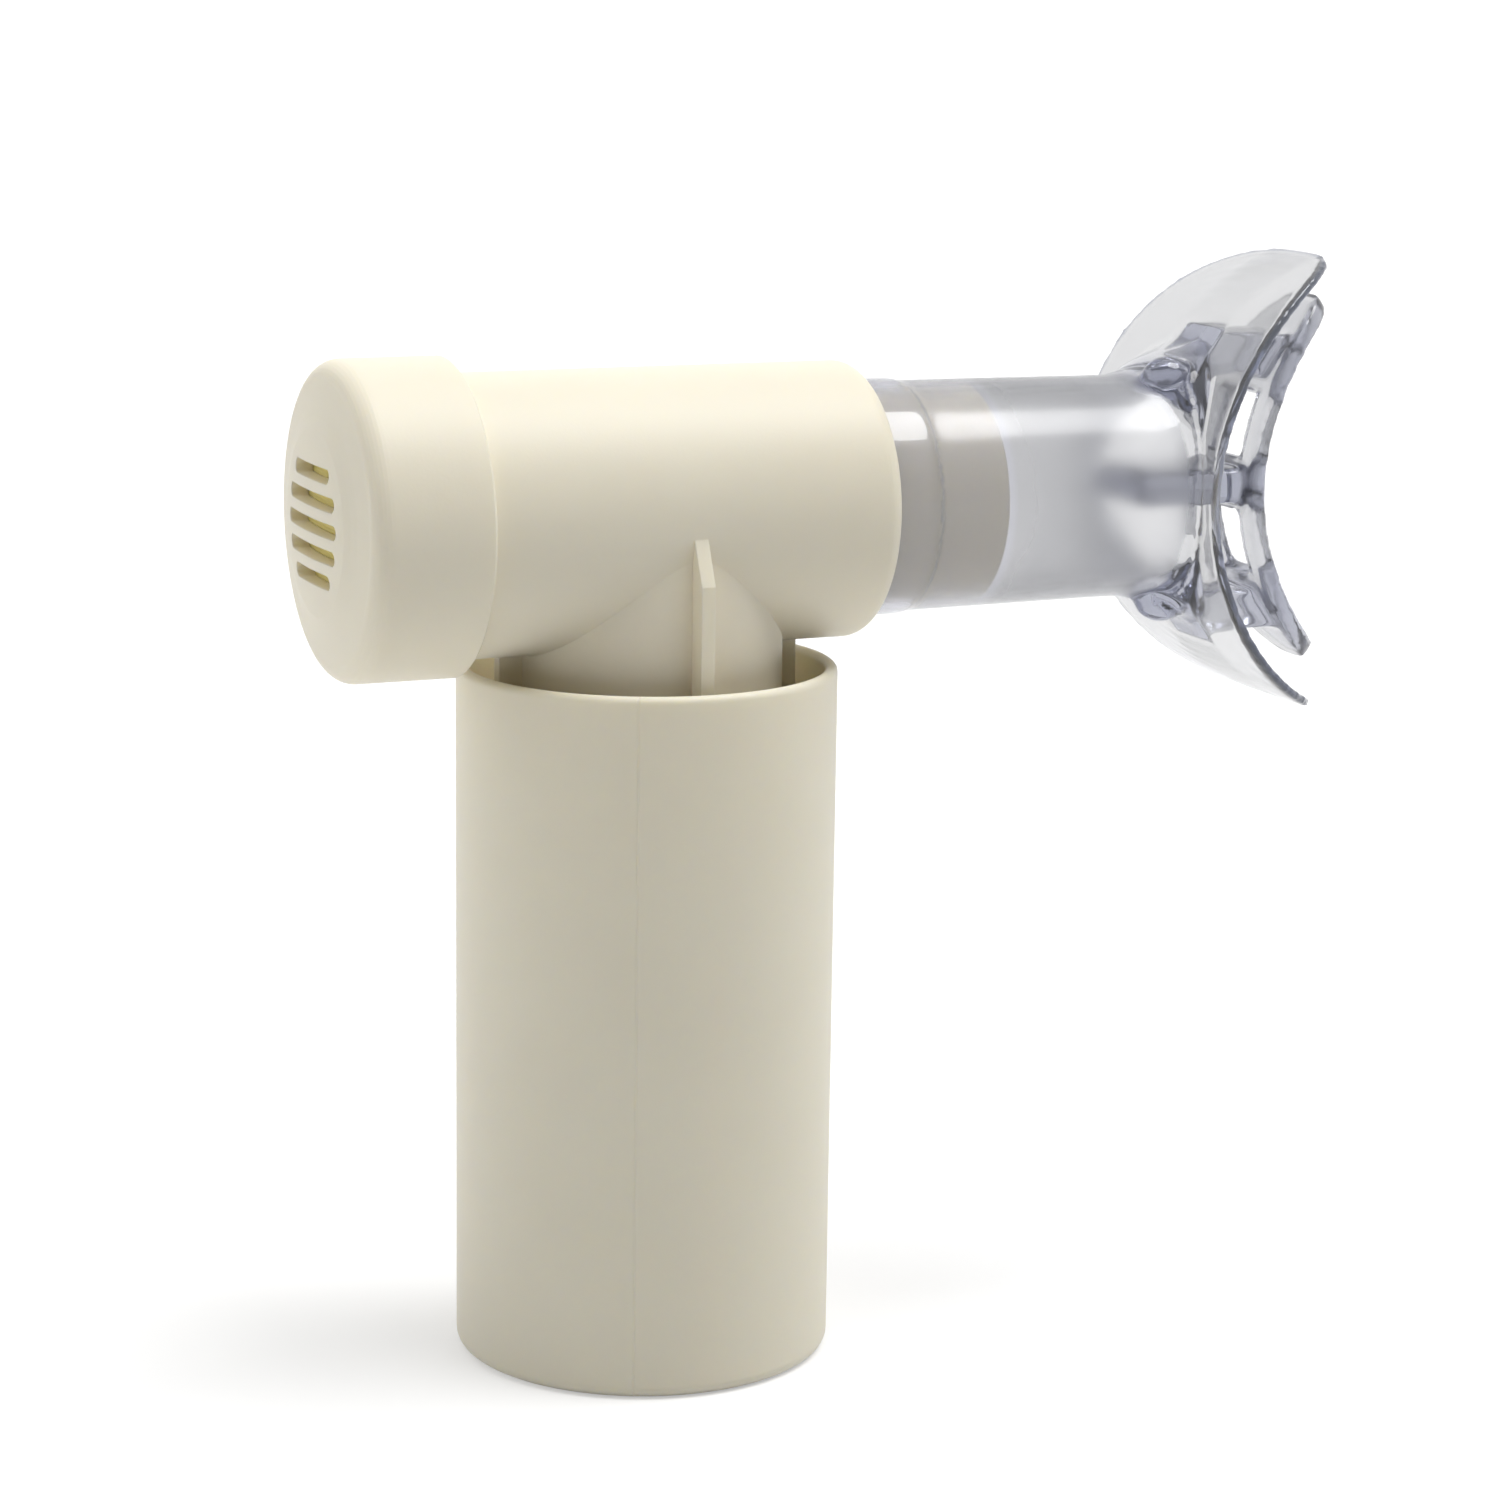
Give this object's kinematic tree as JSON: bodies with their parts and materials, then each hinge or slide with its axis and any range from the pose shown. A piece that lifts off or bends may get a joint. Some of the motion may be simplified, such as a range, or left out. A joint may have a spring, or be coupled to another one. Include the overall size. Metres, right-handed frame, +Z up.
{
  "type": "breathing trainer",
  "caption": "Hand-held breathing muscle trainer: vented head on a push-on handle cover, clear bite mouthpiece, spring-loaded inhale valve with a load knob inside.",
  "frame": {"origin": "centre of the flat base of the handle cover, on the surface that it stands on", "axes": "+Z up along the stem and the handle cover, +X along the head towards the mouthpiece, +Y across the head"},
  "size_m": [0.1399, 0.048, 0.1388],
  "materials": {
    "ivory_plastic": "fine matte moulded",
    "yellowed_plastic": "matte moulded",
    "clear_plastic": "clear, soft and glossy",
    "grey_plastic": "satin moulded",
    "slate_plastic": "satin moulded",
    "pointer_plastic": "gloss moulded",
    "scale_white": "printed strip",
    "valve_rubber": "translucent silicone",
    "steel": "turned",
    "spring_steel": "drawn wire"
  },
  "bodies": {
    "body": {"main_body": "ivory_plastic", "vent_cap": "ivory_plastic", "vent_screen": "yellowed_plastic", "exhale_valve_plate": "yellowed_plastic", "flap_retainer": "grey_plastic", "inhale_valve_seat": "grey_plastic", "seat_gasket": "valve_rubber", "spring_washer": "steel", "load_spring": "spring_steel", "scale_cage": "ivory_plastic", "scale_strip": "scale_white", "spindle_bush": "grey_plastic"},
    "cover": {"handle_cover": "ivory_plastic"},
    "mouth": {"mouthpiece": "clear_plastic"},
    "flap": {"exhale_flap": "valve_rubber"},
    "poppet": {"inhale_poppet": "grey_plastic", "poppet_seal": "valve_rubber"},
    "spindle": {"spindle": "steel", "spindle_clip": "steel", "tension_knob": "slate_plastic", "knob_screw": "steel"},
    "nut": {"load_nut": "slate_plastic", "load_pointer": "pointer_plastic"}
  },
  "joints": [
    {"name": "cover_slide", "type": "slide", "parent": "body", "child": "cover", "axis": [0, 0, -1], "range_m": [0, 0.095]},
    {"name": "mouthpiece_turn", "type": "hinge", "parent": "body", "child": "mouth", "pos_m": [0, 0, 0.10855], "axis": [1, 0, 0], "continuous": true},
    {"name": "exhale_lift", "type": "slide", "parent": "body", "child": "flap", "axis": [-1, 0, 0], "range_m": [0, 0.0015], "stiffness_N_per_m": 20, "springref_m": -0.0005},
    {"name": "valve_lift", "type": "slide", "parent": "body", "child": "poppet", "axis": [0, 0, 1], "range_m": [0, 0.003], "stiffness_N_per_m": 160, "springref_m": -0.003},
    {"name": "knob_turn", "type": "hinge", "parent": "poppet", "child": "spindle", "pos_m": [0, 0, 0.011], "axis": [0, 0, 1], "range_deg": [0, 3240]},
    {"name": "load_rise", "type": "slide", "parent": "poppet", "child": "nut", "axis": [0, 0, 1], "range_m": [0, 0.0225], "deforming": ["load_spring"]}
  ],
  "couplings": [
    {"joint": "load_rise", "follows": "knob_turn", "m_per_rad": 0.00039789}
  ]
}
